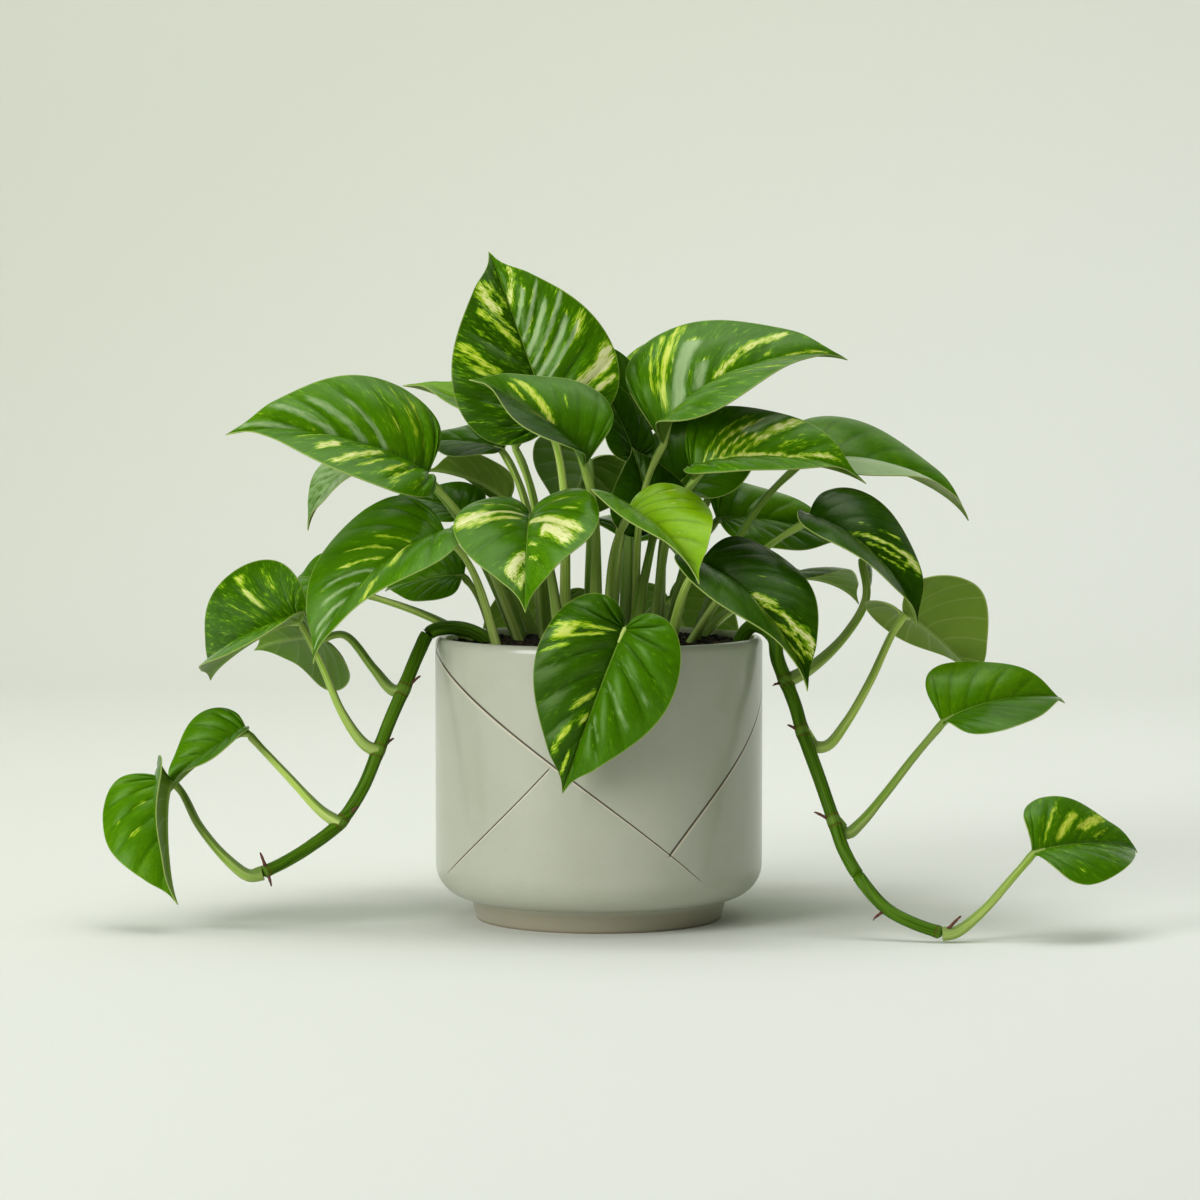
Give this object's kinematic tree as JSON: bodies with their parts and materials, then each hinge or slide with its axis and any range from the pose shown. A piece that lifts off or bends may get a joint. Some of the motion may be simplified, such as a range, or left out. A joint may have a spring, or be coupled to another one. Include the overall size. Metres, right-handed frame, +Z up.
{
  "type": "potted pothos plant",
  "caption": "Trailing variegated pothos with heart-shaped leaves on arching stalks, rooted in soil in a round glazed ceramic pot on a narrower foot.",
  "frame": {"origin": "centre of the pot's flat foot, on the surface it stands on", "axes": "+Z up along the pot's axis; +X along the spread of the two trailing stems; -Y is the side the picture was taken from"},
  "size_m": [0.4678, 0.2364, 0.3062],
  "materials": {
    "glazed_pot": "gloss",
    "potting_soil": "matte",
    "leaf_green": "gloss",
    "vine_green": "gloss"
  },
  "bodies": {
    "root": {"pot": "glazed_pot", "soil": "potting_soil", "leaf_top_left": "leaf_green", "leaf_top_front": "leaf_green", "leaf_top_right": "leaf_green", "leaf_top_rear": "leaf_green", "leaf_top_middle": "leaf_green", "leaf_middle_dark": "leaf_green", "leaf_middle_low": "leaf_green", "leaf_left_upper": "leaf_green", "leaf_left_drooping": "leaf_green", "leaf_left_inner": "leaf_green", "leaf_left_dark": "leaf_green", "leaf_left_rear": "leaf_green", "leaf_left_rear_low": "leaf_green", "leaf_left_lower": "leaf_green", "leaf_left_low": "leaf_green", "leaf_left_far": "leaf_green", "leaf_front_left": "leaf_green", "leaf_front_right": "leaf_green", "leaf_front_low": "leaf_green", "leaf_right_upper": "leaf_green", "leaf_right_inner": "leaf_green", "leaf_right_far": "leaf_green", "leaf_right_middle": "leaf_green", "leaf_right_lower": "leaf_green", "leaf_right_rear": "leaf_green", "leaf_right_turned": "leaf_green", "leaf_back_low_left": "leaf_green", "leaf_back_low_right": "leaf_green", "leaf_back_left": "leaf_green", "leaf_back_top": "leaf_green", "leaf_back_middle": "leaf_green", "leaf_back_right": "leaf_green", "vine_left": "vine_green", "vine_right": "vine_green"}
  },
  "joints": []
}
